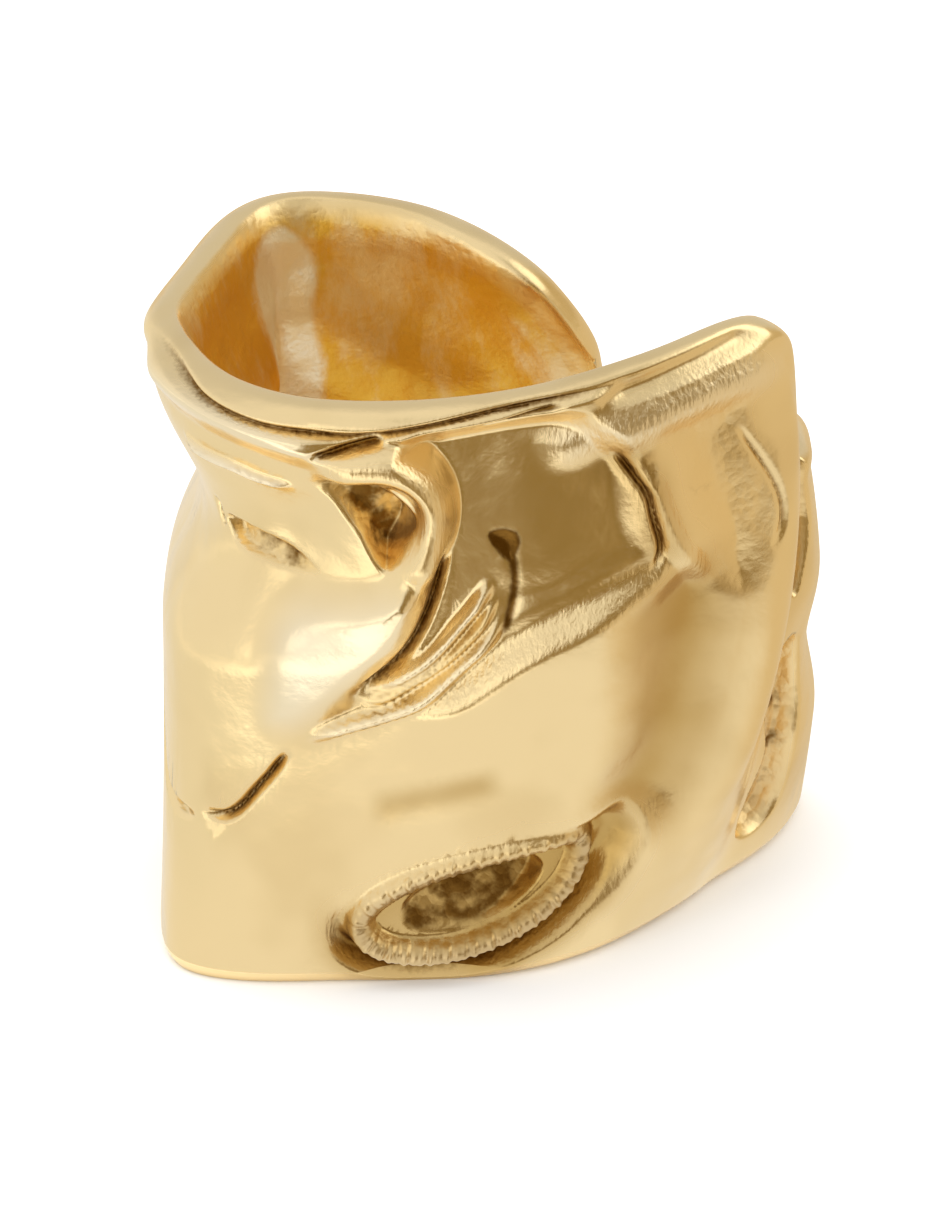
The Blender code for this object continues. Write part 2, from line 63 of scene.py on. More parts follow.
# Where the columns stand closer together: at both ends and round the flap's edge
CROWDING = (
    # place        along  half_width  times
    ("bulge_end",  1.42,  0.06,       4.0),
    ("flap_edge",  1.02,  0.05,       3.5),
    ("back_end",  -0.97,  0.06,       4.0),
    ("front",      0.52,  0.55,       1.9),
)
# The rows stand closer together towards the foot and the rim, by up to this share.
ROW_CROWDING = 0.75
# Vertices this close to each other or to the outline, as a share of a column, are on the blank's seam.
SEAM = 0.1

# Upright ribs of the smooth outer face, from the free end behind the flap round the front and the back to the
# other free end. x is a share of half the width, y of half the depth and z of the height. Feet stand on z 0.
RIBS = (
    # name           foot_x  foot_y  waist_x waist_y head_x  head_y  head_z
    ("bulge_end",     0.840,  0.780,  0.810,  0.830,  0.640,  0.720,  1.000),
    ("bulge_back",    0.955,  0.580,  0.965,  0.600,  0.780,  0.520,  1.000),
    ("bulge",         0.925,  0.310,  1.003,  0.300,  0.800,  0.250,  1.000),
    ("bulge_front",   0.835,  0.080,  0.968,  0.020,  0.800,  0.010,  1.000),
    ("groove",        0.725, -0.110,  0.868, -0.200,  0.810, -0.220,  1.010),
    ("flap_back",     0.680, -0.180,  0.872, -0.300,  0.858, -0.300,  1.030),
    ("flap_edge",     0.632, -0.270,  0.880, -0.400,  0.868, -0.390,  1.050),
    ("flap_corner",   0.540, -0.430,  0.775, -0.610,  0.775, -0.560,  1.066),
    ("flap",          0.390, -0.650,  0.560, -0.790,  0.575, -0.750,  1.054),
    ("front_right",   0.150, -0.860,  0.285, -0.940,  0.315, -0.900,  1.025),
    ("front_middle", -0.145, -0.945, -0.030, -1.000,  0.030, -0.980,  1.008),
    ("front_left",   -0.430, -0.950, -0.370, -1.000, -0.270, -1.000,  1.000),
    ("left_turn",    -0.700, -0.950, -0.685, -0.920, -0.570, -0.920,  0.998),
    ("left_front",   -0.900, -0.840, -0.880, -0.700, -0.815, -0.650,  0.995),
    ("left_corner",  -0.955, -0.580, -0.935, -0.400, -0.955, -0.240,  0.992),
    ("left_flank",   -0.955, -0.200, -0.935, -0.060, -0.965,  0.040,  0.992),
    ("left_back",    -0.925,  0.260, -0.910,  0.320, -0.865,  0.420,  0.998),
    ("back_left",    -0.800,  0.680, -0.800,  0.720, -0.710,  0.860,  1.000),
    ("back",         -0.515,  0.980, -0.515,  0.980, -0.415,  0.960,  1.000),
    ("back_middle",  -0.115,  1.060, -0.130,  1.040, -0.115,  0.800,  0.994),
    ("back_right",    0.260,  1.040,  0.200,  0.980,  0.115,  0.560,  0.978),
    ("back_end",      0.560,  0.940,  0.450,  0.860,  0.330,  0.400,  0.940),
)
LEFT_CORNER = "left_corner"
FLAP_EDGE = "flap_edge"

# The rim, from the free end behind the flap to the other one, as (along, height): both as in RELIEF
RIM = (
    (1.45, 0.675), (1.36, 0.700), (1.28, 0.715), (1.20, 0.725), (1.13, 0.730), (1.080, 0.750),
    (1.058, 0.80), (1.045, 0.880), (1.035, 0.955), (1.012, 1.015), (0.965, 1.050), (0.90, 1.064),
    (0.80, 1.054), (0.70, 1.038), (0.60, 1.021), (0.50, 1.009), (0.40, 1.002), (0.30, 0.999), (0.15, 0.996),
    (0.00, 0.992), (-0.15, 0.992), (-0.30, 0.997), (-0.45, 1.000), (-0.60, 1.000), (-0.75, 0.996),
    (-0.84, 0.978), (-0.90, 0.945), (-0.94, 0.905), (-1.00, 0.850),
)

# Creases, rolls, folds and hollows of the outer face. A path's points are (along, height). Along is a share
# of the front's run: 0 at the left corner, 1 at the flap's edge and negative round the back. Height is a share
# of the cuff's, reach (to either side) and rise are shares of the wall, and through is the share seen inside.
RELIEF = (
    # form    name              reach  rise  through  path
    ("swell", "left_waist",      2.9, -0.95, 1.0,
     ((-0.46, 0.77), (-0.10, 0.725), (0.06, 0.715), (0.17, 0.730), (0.28, 0.760), (0.39, 0.80))),
    ("swell", "flank_waist",     2.3, -0.30, 0.8,
     ((1.08, 0.37), (1.18, 0.355), (1.30, 0.36), (1.44, 0.38))),
    ("swell", "second_roll",     0.62, 0.34, 0.2,
     ((-0.02, 0.945), (0.06, 0.950), (0.12, 0.952), (0.20, 0.945), (0.26, 0.932), (0.31, 0.92))),
    ("cut",   "lip_crease",      0.18, -0.26, 0.0,
     ((-0.04, 0.975), (0.02, 0.983), (0.06, 0.981), (0.11, 0.971), (0.16, 0.965), (0.21, 0.961),
      (0.25, 0.960), (0.30, 0.957), (0.34, 0.960), (0.40, 0.970), (0.45, 0.980), (0.50, 0.990), (0.56, 1.000),
      (0.62, 1.008), (0.68, 1.018), (0.74, 1.030))),
    ("cut",   "roll_end",        0.16, -0.22, 0.0,
     ((0.26, 0.925), (0.29, 0.932), (0.32, 0.943), (0.37, 0.955))),
    ("cut",   "lip_shadow",      0.16, -0.18, 0.0,
     ((0.49, 0.962), (0.53, 0.975), (0.57, 0.988), (0.63, 1.000))),
    ("slope", "upper_hollow",    0.80, -0.82, 0.9,
     ((0.51, 0.991), (0.56, 0.998), (0.62, 0.998), (0.68, 0.975), (0.72, 0.930), (0.745, 0.87), (0.75, 0.80),
      (0.76, 0.73), (0.70, 0.69), (0.64, 0.655), (0.58, 0.63), (0.52, 0.585), (0.46, 0.54), (0.430, 0.60),
      (0.432, 0.70), (0.432, 0.80), (0.425, 0.87), (0.375, 0.935), (0.40, 0.965), (0.45, 0.980))),
    ("swell", "hollow_rib",      1.4, 0.06, 0.0,
     ((0.60, 0.98), (0.59, 0.88), (0.585, 0.78), (0.57, 0.68))),
    ("step",  "panel_edge",      0.42, 0.40, 0.3,
     ((0.40, 0.49), (0.432, 0.505), (0.467, 0.52), (0.505, 0.542), (0.547, 0.580), (0.60, 0.618),
      (0.65, 0.645), (0.70, 0.670), (0.76, 0.698), (0.83, 0.728))),
    ("basin", "right_pocket",    1.5, -0.34, 0.6,
     ((0.755, 0.95), (0.83, 0.985), (0.905, 0.975), (0.945, 0.87), (0.966, 0.77), (0.964, 0.69),
      (0.910, 0.595), (0.860, 0.625), (0.815, 0.70), (0.775, 0.77), (0.760, 0.85))),
    ("swell", "pocket_rim",      0.42, 0.17, 0.0,
     ((0.742, 0.90), (0.752, 0.85), (0.77, 0.795), (0.79, 0.745), (0.81, 0.71), (0.838, 0.67),
      (0.86, 0.635))),
    ("cut",   "pocket_left",     0.17, -0.20, 0.0,
     ((0.690, 0.92), (0.712, 0.89), (0.73, 0.86), (0.745, 0.83), (0.752, 0.80), (0.763, 0.76), (0.767, 0.73),
      (0.750, 0.690))),
    ("cut",   "pocket_right",    0.13, -0.12, 0.0,
     ((0.885, 0.91), (0.905, 0.87), (0.93, 0.82), (0.942, 0.79), (0.952, 0.75), (0.950, 0.71),
      (0.940, 0.68))),
    ("swell", "upper_fold",      0.80, 0.24, 0.3,
     ((0.58, 0.900), (0.63, 0.918), (0.68, 0.938), (0.74, 0.957), (0.82, 0.975), (0.88, 0.985),
      (0.98, 0.985))),
    ("swell", "lip_channel",     0.40, -0.26, 0.0,
     ((0.66, 1.000), (0.72, 1.012), (0.78, 1.025), (0.84, 1.037), (0.89, 1.045), (0.945, 1.045))),
    ("roll",  "hook",            0.54, 0.52, 0.0,
     ((0.25, 0.905), (0.288, 0.905), (0.318, 0.910), (0.356, 0.915), (0.392, 0.908), (0.424, 0.888),
      (0.446, 0.855), (0.453, 0.816), (0.448, 0.78), (0.434, 0.745), (0.414, 0.71), (0.40, 0.68))),
    ("slope", "hook_pocket",     0.40, -1.05, 0.2,
     ((0.424, 0.822), (0.420, 0.79), (0.408, 0.760), (0.388, 0.730), (0.364, 0.752), (0.343, 0.788),
      (0.318, 0.818), (0.292, 0.846), (0.262, 0.876), (0.270, 0.892), (0.31, 0.892), (0.34, 0.889),
      (0.372, 0.879), (0.402, 0.855))),
    ("cut",   "roll_line",       0.20, 0.22, 0.0,
     ((0.075, 0.885), (0.10, 0.872), (0.16, 0.868), (0.195, 0.858), (0.25, 0.853))),
    ("slope", "leaf",            0.15, -0.42, 0.0,
     ((0.17, 0.752), (0.24, 0.737), (0.300, 0.706), (0.243, 0.698), (0.20, 0.702), (0.160, 0.706),
      (0.118, 0.730), (0.110, 0.752), (0.135, 0.757))),
    ("cut",   "leaf_tick",       0.12, -0.26, 0.0,
     ((0.090, 0.775), (0.094, 0.755), (0.100, 0.728))),
    ("slope", "pillow",          0.9, 0.85, 0.5,
     ((0.450, 0.650), (0.435, 0.60), (0.40, 0.55), (0.36, 0.495), (0.29, 0.430), (0.228, 0.440),
      (0.212, 0.55), (0.220, 0.645), (0.255, 0.690), (0.34, 0.715), (0.42, 0.735), (0.450, 0.705))),
    ("cut",   "pillow_crease",   0.24, -0.38, 0.0,
     ((0.475, 0.79), (0.465, 0.76), (0.460, 0.72), (0.455, 0.69), (0.447, 0.657), (0.433, 0.62),
      (0.414, 0.586), (0.383, 0.55), (0.35, 0.52))),
    ("swell", "strand_upper",    0.24, 0.30, 0.0,
     ((0.385, 0.535), (0.41, 0.552), (0.438, 0.574), (0.467, 0.603), (0.489, 0.636), (0.51, 0.668),
      (0.535, 0.712))),
    ("swell", "strand_middle",   0.19, 0.24, 0.0,
     ((0.37, 0.506), (0.40, 0.522), (0.43, 0.545), (0.47, 0.578), (0.50, 0.613), (0.523, 0.645),
      (0.542, 0.69))),
    ("swell", "strand_lower",    0.26, 0.34, 0.0,
     ((0.29, 0.435), (0.33, 0.462), (0.375, 0.482), (0.421, 0.503), (0.453, 0.525), (0.479, 0.552),
      (0.508, 0.588), (0.533, 0.62), (0.550, 0.66))),
    ("swell", "strand_line",     0.24, -0.03, 0.0,
     ((0.548, 0.780), (0.560, 0.74), (0.564, 0.70), (0.560, 0.66), (0.548, 0.61))),
    ("basin", "strand_pit",      0.40, -0.05, 0.0,
     ((0.520, 0.785), (0.545, 0.797), (0.570, 0.785), (0.572, 0.755), (0.556, 0.735), (0.535, 0.750))),
    ("swell", "panel_valley",    2.3, -0.60, 0.6,
     ((0.79, 0.74), (0.81, 0.62), (0.825, 0.51), (0.825, 0.41), (0.80, 0.31), (0.755, 0.21))),
    ("swell", "flap_edge_roll",  0.9, 0.16, 0.3,
     ((0.965, 1.0), (0.97, 0.85), (0.975, 0.70), (0.968, 0.52), (0.955, 0.35), (0.93, 0.16))),
    ("swell", "lens_dent",       0.85, -0.07, 0.0,
     ((0.385, 0.324), (0.44, 0.335), (0.50, 0.353), (0.58, 0.380))),
    ("cut",   "corner_right",    0.19, -0.42, 0.0,
     ((0.15, 0.295), (0.19, 0.293), (0.212, 0.311), (0.232, 0.341), (0.255, 0.376), (0.280, 0.425))),
    ("cut",   "corner_left",     0.20, -0.42, 0.0,
     ((-0.02, 0.47), (0.005, 0.40), (0.03, 0.345), (0.06, 0.300), (0.10, 0.280), (0.15, 0.280))),
    ("slope", "eye_trough",      0.85, -0.90, 0.4,
     ((0.61, 0.265), (0.69, 0.280), (0.77, 0.285), (0.815, 0.23), (0.785, 0.13), (0.715, 0.066),
      (0.62, 0.028), (0.50, 0.020), (0.42, 0.038), (0.365, 0.080), (0.345, 0.12), (0.40, 0.182),
      (0.48, 0.228), (0.55, 0.252))),
    ("ring",  "eye_ring",        0.40, 0.42, 0.0,
     ((0.395, 0.12), (0.43, 0.170), (0.50, 0.207), (0.58, 0.230), (0.66, 0.240), (0.712, 0.224),
      (0.712, 0.18), (0.675, 0.125), (0.62, 0.088), (0.55, 0.066), (0.47, 0.064), (0.415, 0.085))),
    ("swell", "eye_gutter",      0.42, -0.46, 0.0,
     ((0.385, 0.165), (0.362, 0.130), (0.365, 0.088), (0.40, 0.055), (0.46, 0.036), (0.53, 0.034),
      (0.60, 0.050), (0.665, 0.078), (0.715, 0.12), (0.745, 0.17), (0.75, 0.235))),
    ("slope", "eye_pit",         0.26, -0.70, 0.2,
     ((0.57, 0.205), (0.64, 0.207), (0.665, 0.18), (0.640, 0.135), (0.58, 0.098), (0.51, 0.090),
      (0.460, 0.10), (0.450, 0.13), (0.50, 0.180))),
    ("basin", "recess_high",     0.30, -0.44, 0.0,
     ((1.09, 0.74), (1.150, 0.745), (1.165, 0.68), (1.163, 0.60), (1.14, 0.53), (1.12, 0.49), (1.09, 0.52),
      (1.070, 0.62))),
    ("basin", "recess_low",      0.30, -0.56, 0.0,
     ((1.070, 0.40), (1.13, 0.42), (1.165, 0.37), (1.170, 0.27), (1.160, 0.21), (1.160, 0.16), (1.145, 0.095),
      (1.10, 0.070), (1.06, 0.085), (1.050, 0.12), (1.065, 0.17), (1.085, 0.22), (1.070, 0.30))),
    ("cut",   "recess_mark",     0.16, -0.16, 0.0,
     ((1.025, 0.29), (1.030, 0.25), (1.032, 0.20))),
    ("swell", "back_fold_high",  1.6, -0.45, 0.7,
     ((-0.42, 0.88), (-0.56, 0.78), (-0.70, 0.72), (-0.86, 0.70))),
    ("swell", "back_fold_low",   1.2, -0.36, 0.5,
     ((-0.36, 0.42), (-0.50, 0.36), (-0.66, 0.38), (-0.80, 0.46), (-0.92, 0.56))),
    ("swell", "back_roll",       0.55, 0.30, 0.0,
     ((-0.40, 0.335), (-0.52, 0.285), (-0.66, 0.30), (-0.80, 0.375), (-0.93, 0.47))),
    ("cut",   "back_crease",     0.26, -0.34, 0.0,
     ((-0.52, 0.64), (-0.58, 0.58), (-0.66, 0.56), (-0.73, 0.60), (-0.77, 0.66))),
    ("basin", "back_dent",       0.60, -0.30, 0.3,
     ((-0.62, 0.20), (-0.70, 0.235), (-0.80, 0.23), (-0.87, 0.18), (-0.82, 0.12), (-0.70, 0.10),
      (-0.63, 0.13))),
)

# Forms whose path is closed, and those that fill what it encloses. A slope has its full rise at its path's
# first point, and none opposite it.
CLOSED_FORMS = ("basin", "slope", "ring")
FILLED_FORMS = ("basin", "slope")
# An open form fades out over this share of its path at each end.
END_FADE = 0.20
# A step falls away behind its crest over so many reaches, and has a toe in front of it.
STEP_FALL = 8
STEP_TOE = 2
STEP_TOE_DEPTH = 0.25
# The rolled lip's rise, and how much thinner the rim is on its inner side, as shares of the wall
LIP_RISE = 0.10
RIM_THINNING = 0.20
# The eye's ring is pinched into uneven beads, in two counts round it, by up to this share of its rise.
BEADS = (37, 61)
BEAD_DEPTH = 0.22
# The columns follow the rim's height above this share of their own.
RIM_BEND_START = 0.35
# How steeply a cut closes, and how full a roll is
CUT_POWER = 1.3
ROLL_POWER = 3
# Points along a line that is measured along its run, and the step and fewest pieces of a form's path
LINE_POINTS = 1500
PATH_STEP = WALL / 8
FEWEST_PIECES = 24
# How far to either side the smooth face is probed for its direction
PROBE = WALL / 20
# Keeps the square of a zero length off zero
SMALLEST = 1e-18

# Finish: linear colours of the polish, of cast gold inside and in recesses, of the painted highlights and the
# painted reflection inside, of the painted shade at the bottom of a crease, which also colours the dark spots
# of cast gold, and of the painted softer shade of hollows, which also colours the clouds in the polish
POLISHED = (0.94, 0.745, 0.415)
AMBER = (0.86, 0.49, 0.012)
PAINTED_HIGHLIGHT = (0.98, 0.90, 0.72)
SHADE_AND_SPOT_GOLD = (0.21, 0.105, 0.020)
SHADED_GOLD = (0.56, 0.37, 0.125)

# Where the finish changes along a form of RELIEF: its mask, the reach to either side as a share of the wall,
# and its strength. Creases get a painted dark shade, hollows a softer painted shade and raised places a
# painted pale highlight; cast is rough and grainy, and fuzz is a brushed edge. The painted reflection on the
# inside has a path of its own.
MASKS = ("crease_shade", "shade", "highlight", "cast", "fuzz", "inner_reflection")
FINISH = (
    # mask    form              reach  strength
    # Painted dark shade in creases and pits
    ("crease_shade",  "lip_crease",     0.12,  0.75),
    ("crease_shade",  "roll_end",       0.12,  0.90),
    ("crease_shade",  "lip_shadow",     0.12,  0.95),
    ("crease_shade",  "pocket_left",    0.15,  0.80),
    ("crease_shade",  "pocket_right",   0.10,  0.60),
    ("crease_shade",  "hook_pocket",    0.50,  0.55),
    ("crease_shade",  "leaf",           0.10,  0.35),
    ("crease_shade",  "leaf_tick",      0.08,  0.80),
    ("crease_shade",  "pillow_crease",  0.15,  0.85),
    ("crease_shade",  "strand_line",    0.20,  0.85),
    ("crease_shade",  "strand_pit",     0.16,  1.00),
    ("crease_shade",  "corner_right",   0.11,  0.90),
    ("crease_shade",  "corner_left",    0.10,  0.80),
    ("crease_shade",  "eye_gutter",     0.34,  0.85),
    ("crease_shade",  "eye_pit",        0.30,  0.60),
    ("crease_shade",  "recess_mark",    0.10,  0.60),
    ("crease_shade",  "back_crease",    0.14,  0.80),
    # Painted softer shade in hollows and valleys
    ("shade", "pocket_left",    0.90,  0.70),
    ("shade", "panel_valley",   2.10,  1.00),
    ("shade", "lens_dent",      0.60,  0.55),
    ("shade", "eye_trough",     0.60,  0.95),
    ("shade", "eye_gutter",     1.00,  1.00),
    # Painted pale highlights on raised places
    ("highlight",  "second_roll",    0.40,  0.50),
    ("highlight",  "upper_fold",     0.70,  0.40),
    ("highlight",  "roll_line",      0.20,  0.80),
    ("highlight",  "pillow",         1.30,  0.70),
    ("highlight",  "strand_upper",   0.20,  0.45),
    ("highlight",  "strand_lower",   0.20,  0.45),
    ("highlight",  "eye_ring",       0.34,  0.22),
    ("highlight",  "recess_low",     0.60,  0.60),
    ("cast",  "right_pocket",   1.20,  0.35),
    ("cast",  "hook_pocket",    0.30,  0.85),
    ("cast",  "roll_line",      0.22,  0.80),
    ("cast",  "leaf",           0.14,  0.70),
    ("cast",  "strand_middle",  0.40,  0.45),
    ("cast",  "eye_ring",       0.50,  0.70),
    ("cast",  "eye_pit",        0.30,  0.90),
    ("cast",  "recess_high",    0.30,  1.00),
    ("cast",  "recess_low",     0.30,  1.00),
    ("fuzz",  "lip_crease",     0.30,  0.60),
    ("fuzz",  "panel_edge",     0.55,  0.90),
    ("fuzz",  "pocket_rim",     0.45,  0.90),
    ("fuzz",  "pocket_left",    0.40,  0.80),
    ("fuzz",  "upper_fold",     1.00,  1.00),
    ("fuzz",  "hook",           0.62,  0.65),
    ("fuzz",  "pillow_crease",  0.40,  0.80),
    ("fuzz",  "strand_upper",   0.30,  0.60),
    ("fuzz",  "strand_lower",   0.40,  0.60),
    ("fuzz",  "corner_right",   0.35,  0.60),
    ("fuzz",  "eye_trough",     0.60,  0.50),
    ("fuzz",  "eye_gutter",     0.50,  0.80),
)
# The painted reflection, a pale streak down the inside, as (along, height), and its reach as a share of the
# wall
INNER_REFLECTION_PATH = ((-0.43, 1.00), (-0.41, 0.84), (-0.43, 0.70), (-0.41, 0.45))
INNER_REFLECTION_REACH = 2.2
# The inside is as cast, this strongly, except in front, where it turns polished over a run before the left
# corner.
CAST_INSIDE = 0.9
CAST_START = 0.003

# Patterns of the finish: times per metre, and how much of that is left upwards, where a pattern is drawn out
PATTERNS = (
    # name      scale    detail  roughness  upwards
    ("swirl",     380.0,  2.0,    0.50,      1.00),
    ("blotch",   1500.0,  4.0,    0.50,      1.00),
    ("grain",    8000.0,  4.0,    0.50,      1.00),
    ("hair",    11000.0,  3.0,    0.50,      0.22),
    ("stain",     620.0,  6.0,    0.62,      0.45),
)
PATTERN_MIDDLE = 0.5
PEBBLE_SCALE = 4200.0
# Where a stain, a cloud, the painted reflection inside and the painted shade of a crease start to show, and
# where they show in full
STAINED = (0.34, 0.54)
CLOUDED = (0.46, 0.72)
REFLECTION_SHOWN = (0.60, 0.84)
CREASED = (0.15, 0.85)
# How much amber shows in cast recesses and how much more inside, how clouded the polish is, how even the
# painted shade of a hollow is and how much stains break up the painted reflection inside
AMBER_SHARE = 0.35
AMBER_INSIDE = 0.60
CLOUD_SHARE = 0.20
SHADE_EVENNESS = 0.5
REFLECTION_STAINS = 0.9
# How ragged the edge of a crease's painted shade is, how strong the dark spots of cast gold are, and how much
# weaker inside
EDGE_GRAIN = 0.35
EDGE_HAIR = 0.8
SPOTS = 4.0
FEWER_INSIDE = 3.0
# Roughness of the polish, and what swirls, cast gold and brushed edges add to it
POLISH_ROUGHNESS = 0.19
SWIRL_ROUGHNESS = 0.10
CAST_ROUGHNESS = 0.22
FUZZ_ROUGHNESS = 0.08
# How high each pattern stands, in steps of so many metres: all over, then what is added where it is cast
BUMP_STEP = 0.00001
SWIRL_HEIGHT = 13.0
BLOTCH_HEIGHT, CAST_BLOTCH_HEIGHT = 2.2, 3.0
GRAIN_HEIGHT, CAST_GRAIN_HEIGHT = 0.30, 0.9
HAIR_HEIGHT = 3.4
PEBBLE_DEPTH = 4.0

# Picture: its height at the cuff, its middle, the camera's rise above level, and the lens and sensor in mm
VIEW_HEIGHT = 0.025525
VIEW_CENTRE = (-0.000318, 0.002700, 0.004695)
CAMERA_RISE = 30.0
LENS = 300
SENSOR = 36

# Light that the gold mirrors, by direction: azimuth 0 is towards the camera and 90 to the right, in degrees.
# The colour is full inside the first angle from the middle and gone at the second.
ROOM_LIGHT = (0.90, 0.88, 0.85)
ROOM_PATCHES = (
    # name            azimuth elevation inner outer  colour
    ("right_side",    105.0,   10.0,    28.0, 55.0, (0.60, 0.48, 0.29)),
    ("camera_side",    28.0,   10.0,    20.0, 36.0, (0.27, 0.18, 0.055)),
    ("left_window",   -36.0,    2.0,    15.0, 30.0, (1.30, 1.27, 1.20)),
    ("behind",        180.0,   36.0,    26.0, 52.0, (0.68, 0.665, 0.65)),
    ("high_right",     38.0,   58.0,    10.0, 26.0, (0.62, 0.59, 0.53)),
    ("right_window",   85.0,   45.0,    12.0, 28.0, (1.60, 1.58, 1.50)),
)
# The mirrored floor: each shade grows along its azimuth, between two distances from the middle.
FLOOR_LIGHT = (0.91, 0.88, 0.83)
FLOOR_SHADES = (
    # name      azimuth  near     far    colour
    ("left",    -80.0,   0.007,   0.014, (0.86, 0.84, 0.79)),
    ("window",   -5.0,   0.0148,  0.0165, (1.50, 1.47, 1.38)),
    ("front",    30.0,   0.0130,  0.026, (0.27, 0.180, 0.055)),
    ("far_left", -80.0,  0.029,   0.041, (1.12, 1.09, 1.02)),
    ("side",    -90.0,   0.040,   0.058, (0.88, 0.86, 0.81)),
    ("right",   120.0,   0.0015,  0.010, (0.74, 0.62, 0.44)),
)
LAMPS = (
    # name          size  energy  place
    ("top_lamp",    0.30, 0.20, (-0.10, -0.02, 0.32)),
)
WORLD_STRENGTH = 1.45
PAPER_WHITE = 0.92
# The studio: the widths of the paper and of the mirrored floor just above it, and the mirrored room
PAPER_SIZE = 1.6
FLOOR_SIZE = 1.0
FLOOR_RISE = 0.0003
ROOM_RADIUS = 0.7


def spline(knots, values, at):
    """A smooth curve through the values at the knots, straight at its ends."""
    knots = np.asarray(knots, float)
    values = np.asarray(values, float)
    gap = np.diff(knots)
    count = len(knots)
    matrix = np.eye(count)
    right = np.zeros((count, values.shape[1]))
    for i in range(1, count - 1):
        matrix[i, i - 1 : i + 2] = (gap[i - 1], 2 * (gap[i - 1] + gap[i]), gap[i])
        right[i] = 6 * ((values[i + 1] - values[i]) / gap[i] - (values[i] - values[i - 1]) / gap[i - 1])
    bend = np.linalg.solve(matrix, right)
    cell = np.clip(np.searchsorted(knots, at, side="right") - 1, 0, count - 2)
    low = (knots[cell + 1] - at)[:, None]
    high = (at - knots[cell])[:, None]
    step = gap[cell][:, None]
    return (
        bend[cell] * low**3 / (6 * step)
        + bend[cell + 1] * high**3 / (6 * step)
        + (values[cell] / step - bend[cell] * step / 6) * low
        + (values[cell + 1] / step - bend[cell + 1] * step / 6) * high
    )


def ease(x):
    x = np.clip(x, 0, 1)
    return x * x * (3 - 2 * x)


# Profiles of the forms: the share of the rise at x, the distance from the path as a share of the reach
def swell(x):
    return 0.5 + 0.5 * np.cos(math.pi * np.clip(x, 0, 1))


def cut(x):
    return (1 - np.clip(x, 0, 1) ** CUT_POWER) ** 2


def roll(x):
    return (1 - np.clip(x, 0, 1) ** ROLL_POWER) ** 2


PROFILES = {"swell": swell, "cut": cut, "roll": roll, "ring": roll}


class Band:
    """The smooth band before its relief, laid out by run along the waist and height."""

    def __init__(self):
        half = np.array((CUFF_WIDTH / 2, CUFF_DEPTH / 2))
        rows = np.array([row[1:] for row in RIBS], float)
        waist = rows[:, 2:4] * half
        head = np.column_stack((rows[:, 4:6] * half, rows[:, 6] * CUFF_HEIGHT))
        run = np.concatenate(((0.0,), np.cumsum(np.linalg.norm(np.diff(waist, axis=0), axis=1))))
        names = [row[0] for row in RIBS]
        self.ribs = run
        self.table = np.column_stack((rows[:, 0:2] * half, waist, head))
        self.corner_run = run[names.index(LEFT_CORNER)]
        self.front_run = self.corner_run - run[names.index(FLAP_EDGE)]
        self.length = run[-1]
        self.rim = self.run_and_height(RIM)

    def run_and_height(self, path):
        """A path's points, given as (along, height), as (run, height) in metres."""
        path = np.array(path)
        return np.column_stack((self.corner_run - path[:, 0] * self.front_run, path[:, 1] * CUFF_HEIGHT))

    def edges(self, run):
        """Heights of the foot and the rim at each run, with the corners at both ends rounded."""
        chord = np.concatenate(((0.0,), np.cumsum(np.linalg.norm(np.diff(self.rim, axis=0), axis=1))))
        line = spline(chord, self.rim, np.linspace(0, chord[-1], LINE_POINTS))
        high = np.interp(run, line[:, 0], line[:, 1])
        drop = np.zeros(len(run))
        for distance in (run, self.length - run):
            near = np.clip(1 - distance / CORNER_RADIUS, 0, 1)
            drop += CORNER_RADIUS * (1 - np.sqrt(1 - near**2))
        return drop, high - drop

    def height(self, run, v):
        """Height at share v of each column: the columns differ in their upper part only."""
        low, high = self.edges(run)
        bend = ease((v - RIM_BEND_START) / (1 - RIM_BEND_START))
        return low + v * (CUFF_HEIGHT - low) + bend * (high - CUFF_HEIGHT)

    def points(self, run, height):
        """Points of the smooth outer face."""
        rib = spline(self.ribs, self.table, run)
        t = (height / rib[:, 6])[:, None]
        foot, waist, head = rib[:, 0:2], rib[:, 2:4], rib[:, 4:6]
        plan = (1 - t) * (1 - 2 * t) * foot + 4 * t * (1 - t) * waist + t * (2 * t - 1) * head
        return np.column_stack((plan, height))

    def normals(self, run, height):
        """Outward directions of the smooth face."""
        across = self.points(run + PROBE, height) - self.points(run - PROBE, height)
        up = self.points(run, height + PROBE) - self.points(run, height - PROBE)
        normal = np.cross(up, across)
        return normal / np.linalg.norm(normal, axis=1)[:, None]

    def from_outline(self, run, height):
        """Distance of each point from the band's outline, up to the wall's thickness."""
        at = np.linspace(0, self.length, LINE_POINTS)
        low, high = self.edges(at)
        start, end = np.array((at[0], at[0])), np.array((at[-1], at[-1]))
        sides = (
            np.column_stack((at, low)),
            np.column_stack((at, high)),
            np.column_stack((start, (low[0], high[0]))),
            np.column_stack((end, (low[-1], high[-1]))),
        )
        lines = [(side[i], side[i + 1]) for side in sides for i in range(len(side) - 1)]
        first = np.array([line[0] for line in lines])
        last = np.array([line[1] for line in lines])
        nearest = np.full(len(run), WALL)
        columns, column_of = np.unique(np.round(run, 9), return_inverse=True)
        order = np.argsort(column_of, kind="stable")
        bounds = np.searchsorted(column_of[order], np.arange(len(columns) + 1))
        for i, column in enumerate(columns):
            close = (np.minimum(first[:, 0], last[:, 0]) < column + WALL) & (
                np.maximum(first[:, 0], last[:, 0]) > column - WALL
            )
            a, b = first[close], last[close]
            which = order[bounds[i] : bounds[i + 1]]
            point = np.column_stack((run[which], height[which]))
            step = b - a
            offset = point[:, None, :] - a[None]
            size = np.maximum((step * step).sum(1), SMALLEST)
            t = np.clip((offset * step).sum(2) / size, 0, 1)
            away = np.linalg.norm(offset - t[..., None] * step, axis=2).min(1)
            nearest[which] = np.minimum(away, WALL)
        return nearest


